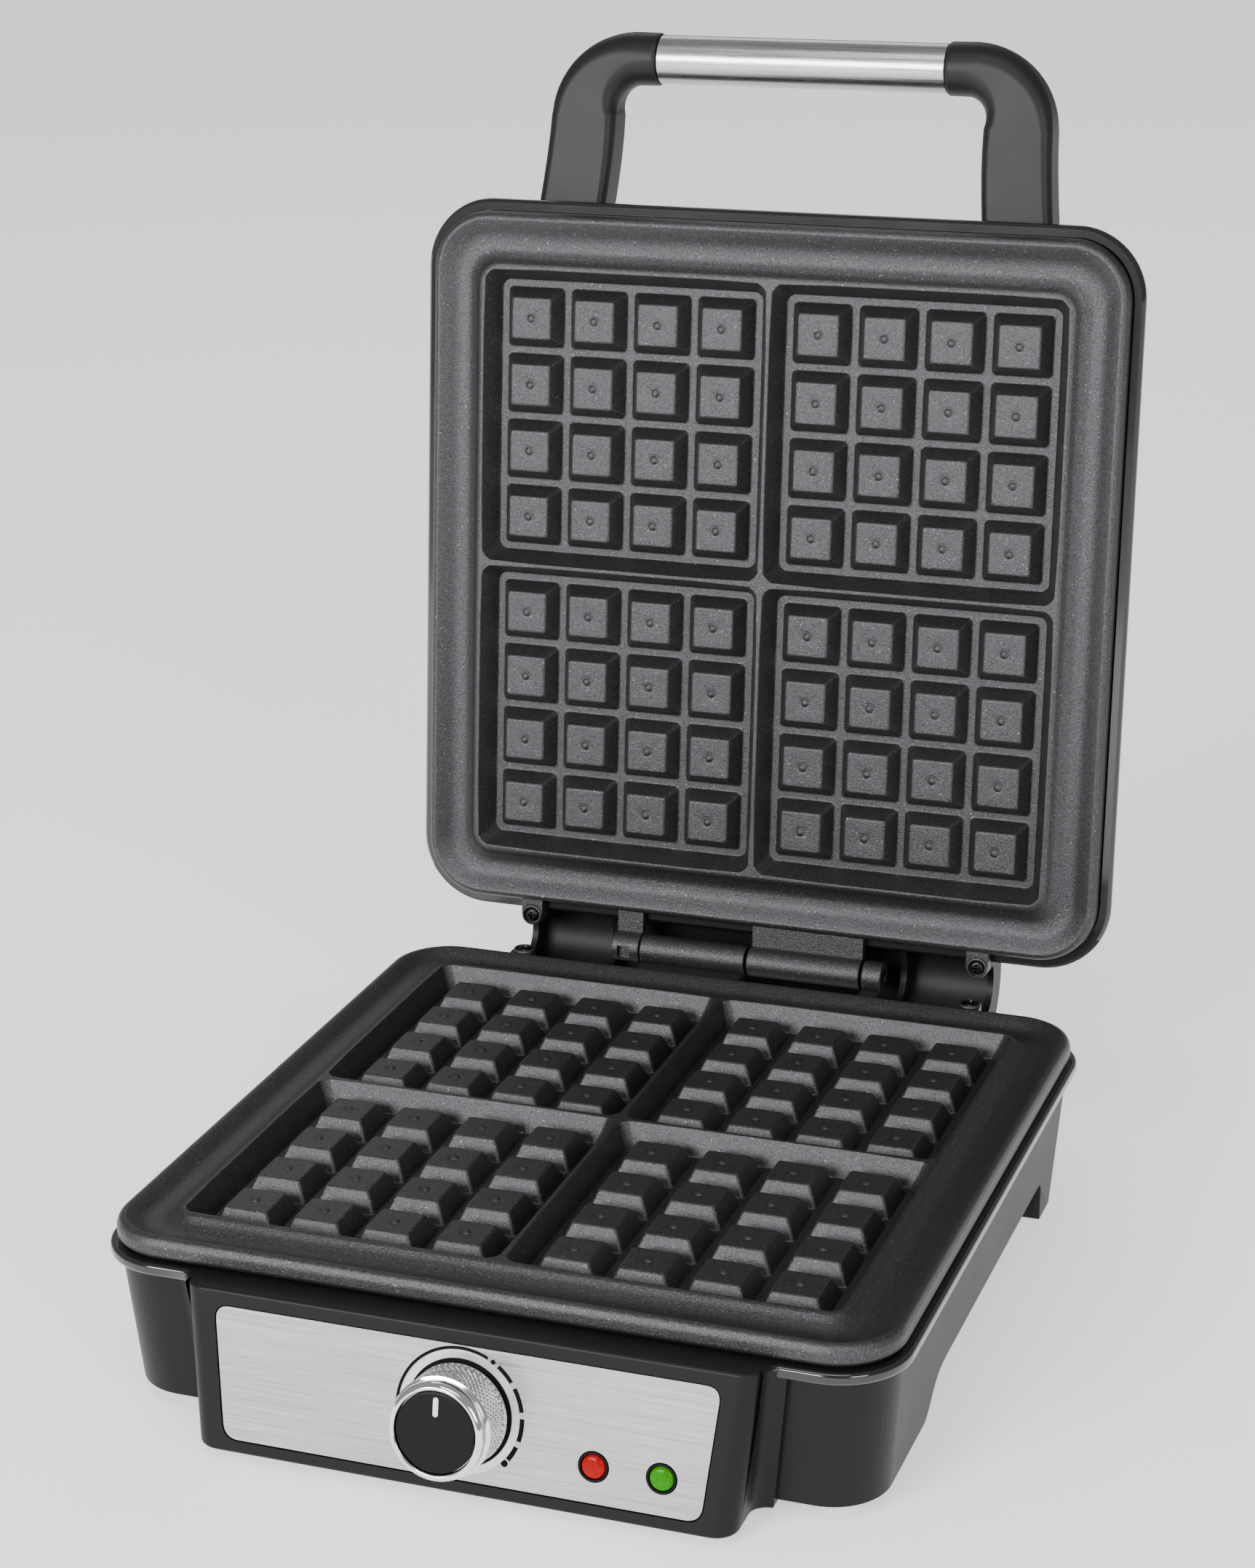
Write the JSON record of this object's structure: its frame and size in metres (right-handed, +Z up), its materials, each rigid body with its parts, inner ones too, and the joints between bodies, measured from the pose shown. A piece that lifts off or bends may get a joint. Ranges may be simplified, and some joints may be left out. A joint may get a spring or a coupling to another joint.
{
  "type": "waffle maker",
  "caption": "Square waffle maker with a hinged lid, ribbed non-stick plates, a tilted steel control panel with a temperature knob and lamps, and a tube handle.",
  "frame": {"origin": "on the table, under the middle of the open machine's bounding box", "axes": "+Z up, +Y from the control panel towards the hinge, +X to the right when facing the panel"},
  "size_m": [0.274, 0.393, 0.4061],
  "materials": {
    "housing_plastic": "satin, fine grain",
    "gloss_plastic": "polished black",
    "nonstick_plate": "non-stick coating with fine metallic speckle",
    "heating_rod": "sheathed heating rod",
    "aluminium_sheet": "plain sheet",
    "rubber": "matt",
    "plain_steel": "zinc plated",
    "black_screw": "blackened steel",
    "brushed_steel": "brushed",
    "handle_plastic": "soft satin",
    "knob_chrome": "polished, with a diamond knurled skirt",
    "cap_plastic": "satin",
    "bakelite": "moulded phenolic",
    "red_lens": "translucent red",
    "green_lens": "translucent green",
    "ceramic": "glazed ceramic",
    "lead_sleeve": "woven glass sleeve"
  },
  "bodies": {
    "base": {"base_housing": "housing_plastic", "bottom_cover": "housing_plastic", "lower_baking_plate": "nonstick_plate", "lower_heating_element": "heating_rod", "lower_heat_reflector": "aluminium_sheet", "hinge_pin": "black_screw", "terminal_block": "ceramic", "cord_inlet_bush": "rubber", "thermal_cutout": "aluminium_sheet", "supply_lead": "lead_sleeve", "lamp_lead": "lead_sleeve", "foot_front_left": "rubber", "foot_front_right": "rubber", "foot_rear_left": "rubber", "foot_rear_right": "rubber", "cover_screw_front_left": "plain_steel", "cover_screw_front_right": "plain_steel", "cover_screw_rear_left": "plain_steel", "cover_screw_rear_right": "plain_steel", "lower_plate_screw_left": "black_screw", "lower_plate_screw_right": "black_screw", "control_panel": "brushed_steel", "thermostat_body": "bakelite", "red_lamp_lens": "red_lens", "red_lamp_holder": "gloss_plastic", "green_lamp_lens": "green_lens", "green_lamp_holder": "gloss_plastic"},
    "lid": {"lid_housing": "gloss_plastic", "lid_cover_plate": "brushed_steel", "upper_baking_plate": "nonstick_plate", "upper_heating_element": "heating_rod", "upper_heat_reflector": "aluminium_sheet", "handle_tube": "brushed_steel", "handle_arm_left": "handle_plastic", "handle_arm_right": "handle_plastic", "handle_screw_left": "plain_steel", "handle_screw_right": "plain_steel", "upper_plate_screw_left": "black_screw", "upper_plate_screw_right": "black_screw"},
    "knob": {"knob": "knob_chrome", "knob_cap": "cap_plastic", "thermostat_shaft": "plain_steel"}
  },
  "joints": [
    {"name": "lid_hinge", "type": "hinge", "parent": "base", "child": "lid", "pos_m": [0, 0.11909, 0.0661], "axis": [1, 0, 0], "range_deg": [0, 95.8]},
    {"name": "knob_turn", "type": "hinge", "parent": "base", "child": "knob", "pos_m": [0, -0.17441, 0.0294], "axis": [0, -0.9848, 0.1736], "range_deg": [-135, 135]}
  ]
}
